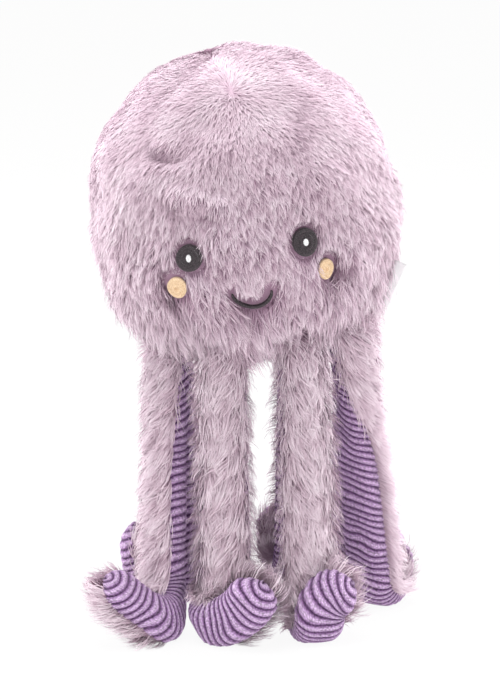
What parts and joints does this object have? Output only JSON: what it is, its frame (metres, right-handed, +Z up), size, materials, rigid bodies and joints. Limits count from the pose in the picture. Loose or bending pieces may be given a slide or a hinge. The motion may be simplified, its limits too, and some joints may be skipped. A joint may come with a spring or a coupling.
{
  "type": "plush octopus",
  "caption": "Stuffed plush octopus with a round furry head, an embroidered face and soft arms of fur and ribbed knit that curl at their ends.",
  "frame": {"origin": "on the floor, under the middle of the toy's outline seen from above", "axes": "+Z up, the face looks towards -Y, +X is on the viewer's right"},
  "size_m": [0.1738, 0.1716, 0.3144],
  "materials": {
    "lilac_fur": "matte",
    "purple_rib_knit": "matte",
    "polyester_fibre": "matte",
    "black_thread": "satin",
    "white_thread": "satin",
    "tan_thread": "satin",
    "label_ribbon": "matte"
  },
  "bodies": {
    "head": {"head_panel_front": "lilac_fur", "head_panel_right": "lilac_fur", "head_panel_back": "lilac_fur", "head_panel_left": "lilac_fur", "base_panel": "lilac_fur", "head_stuffing": "polyester_fibre", "eye_left": "black_thread", "eye_right": "black_thread", "eye_highlight_left": "white_thread", "eye_highlight_right": "white_thread", "cheek_left": "tan_thread", "cheek_right": "tan_thread", "mouth": "black_thread"},
    "label": {"care_label": "label_ribbon"},
    "arm_front_left": {"arm_front_left_fur": "lilac_fur", "arm_front_left_rib": "purple_rib_knit", "arm_front_left_stuffing": "polyester_fibre"},
    "arm_left_front": {"arm_left_front_fur": "lilac_fur", "arm_left_front_rib": "purple_rib_knit", "arm_left_front_stuffing": "polyester_fibre"},
    "arm_left_back": {"arm_left_back_fur": "lilac_fur", "arm_left_back_rib": "purple_rib_knit", "arm_left_back_stuffing": "polyester_fibre"},
    "arm_back_left": {"arm_back_left_fur": "lilac_fur", "arm_back_left_rib": "purple_rib_knit", "arm_back_left_stuffing": "polyester_fibre"},
    "arm_back_right": {"arm_back_right_fur": "lilac_fur", "arm_back_right_rib": "purple_rib_knit", "arm_back_right_stuffing": "polyester_fibre"},
    "arm_right_back": {"arm_right_back_fur": "lilac_fur", "arm_right_back_rib": "purple_rib_knit", "arm_right_back_stuffing": "polyester_fibre"},
    "arm_right_front": {"arm_right_front_fur": "lilac_fur", "arm_right_front_rib": "purple_rib_knit", "arm_right_front_stuffing": "polyester_fibre"},
    "arm_front_right": {"arm_front_right_fur": "lilac_fur", "arm_front_right_rib": "purple_rib_knit", "arm_front_right_stuffing": "polyester_fibre"}
  },
  "joints": [
    {"name": "front_left_root", "type": "hinge", "parent": "head", "child": "arm_front_left", "pos_m": [-0.01819, -0.049, 0.15632], "axis": [-0.9239, 0.3827, 0], "range_deg": [0, 75]},
    {"name": "left_front_root", "type": "hinge", "parent": "head", "child": "arm_left_front", "pos_m": [-0.04743, -0.01947, 0.15221], "axis": [-0.3827, 0.9239, 0], "range_deg": [0, 75]},
    {"name": "left_back_root", "type": "hinge", "parent": "head", "child": "arm_left_back", "pos_m": [-0.04743, 0.02229, 0.15221], "axis": [0.3827, 0.9239, 0], "range_deg": [0, 75]},
    {"name": "back_left_root", "type": "hinge", "parent": "head", "child": "arm_back_left", "pos_m": [-0.01819, 0.05182, 0.15632], "axis": [0.9239, 0.3827, 0], "range_deg": [0, 75]},
    {"name": "back_right_root", "type": "hinge", "parent": "head", "child": "arm_back_right", "pos_m": [0.02317, 0.05182, 0.16213], "axis": [0.9239, -0.3827, 0], "range_deg": [0, 75]},
    {"name": "right_back_root", "type": "hinge", "parent": "head", "child": "arm_right_back", "pos_m": [0.05241, 0.02229, 0.16624], "axis": [0.3827, -0.9239, 0], "range_deg": [0, 75]},
    {"name": "right_front_root", "type": "hinge", "parent": "head", "child": "arm_right_front", "pos_m": [0.04856, -0.0271, 0.1657], "axis": [-0.5225, -0.8526, 0], "range_deg": [0, 75]},
    {"name": "front_right_root", "type": "hinge", "parent": "head", "child": "arm_front_right", "pos_m": [0.02317, -0.049, 0.16213], "axis": [-0.9239, -0.3827, 0], "range_deg": [0, 75]},
    {"name": "label_seam", "type": "hinge", "parent": "head", "child": "label", "pos_m": [0.06569, -0.00803, 0.19201], "axis": [0.3858, -0.0717, 0.9198], "range_deg": [-50, 50]}
  ]
}
